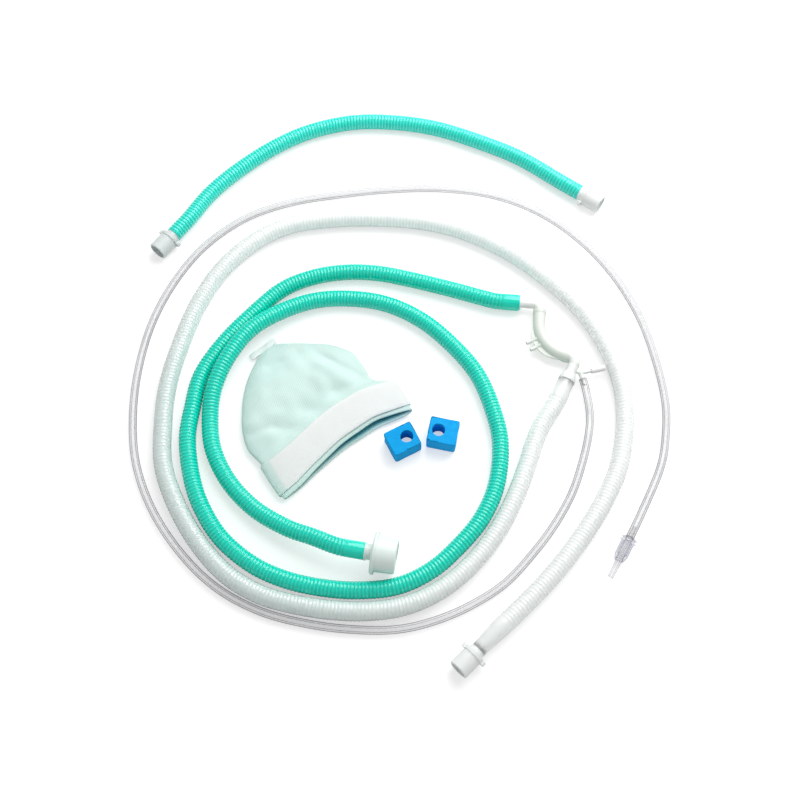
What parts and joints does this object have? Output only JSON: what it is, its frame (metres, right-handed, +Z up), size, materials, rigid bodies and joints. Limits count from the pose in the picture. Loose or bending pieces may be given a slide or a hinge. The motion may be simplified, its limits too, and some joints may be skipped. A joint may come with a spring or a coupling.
{
  "type": "neonatal nasal cpap circuit",
  "caption": "Breathing circuit for nasal pressure support of a newborn: coiled limbs, prong cannula between two elbows, pressure line with luer, connectors, knit hat and foam tube holders.",
  "frame": {"origin": "on the surface that the circuit lies on, under the middle of the rigid pieces", "axes": "+Z up from the surface; +X across the layout, to the right in the picture; +Y away from the viewer"},
  "size_m": [0.4108, 0.4693, 0.0316],
  "materials": {
    "green_hose": "glossy corrugated hose plastic, sea green",
    "white_hose": "translucent white corrugated hose plastic",
    "clear_line": "clear flexible tube",
    "frosted_plastic": "frosted translucent moulding",
    "mint_plastic": "frosted translucent moulding with a mint tint",
    "elbow_plastic": "frosted translucent moulding, slightly warm",
    "silicone": "soft translucent silicone",
    "cap_plastic": "soft translucent sleeve",
    "clear_plastic": "clear moulding",
    "tinted_plastic": "clear moulding with a violet tint",
    "mint_knit": "fine soft jersey knit, pale mint",
    "white_knit": "soft brushed knit, white",
    "label_cloth": "thin white tape, blank",
    "blue_foam": "fine closed-cell foam, bright blue"
  },
  "bodies": {
    "circuit": {"humidifier_hose": "green_hose", "inspiratory_hose": "green_hose", "expiratory_hose": "white_hose", "pressure_line": "clear_line", "humidifier_connector_left": "frosted_plastic", "humidifier_connector_right": "frosted_plastic", "expiratory_connector": "frosted_plastic", "inspiratory_connector": "mint_plastic", "inspiratory_elbow": "elbow_plastic", "expiratory_elbow": "elbow_plastic", "nasal_cannula": "silicone", "port_cap": "cap_plastic", "luer_hub": "clear_plastic", "hat_crown": "mint_knit", "hat_cuff_band": "white_knit", "hat_label": "label_cloth", "foam_block_left": "blue_foam", "foam_block_right": "blue_foam"},
    "collar": {"luer_collar": "tinted_plastic"}
  },
  "joints": [
    {"name": "luer_collar_spin", "type": "hinge", "parent": "circuit", "child": "collar", "pos_m": [0.17712, -0.108, 0.0052], "axis": [-0.4848, -0.8746, 0], "continuous": true}
  ]
}
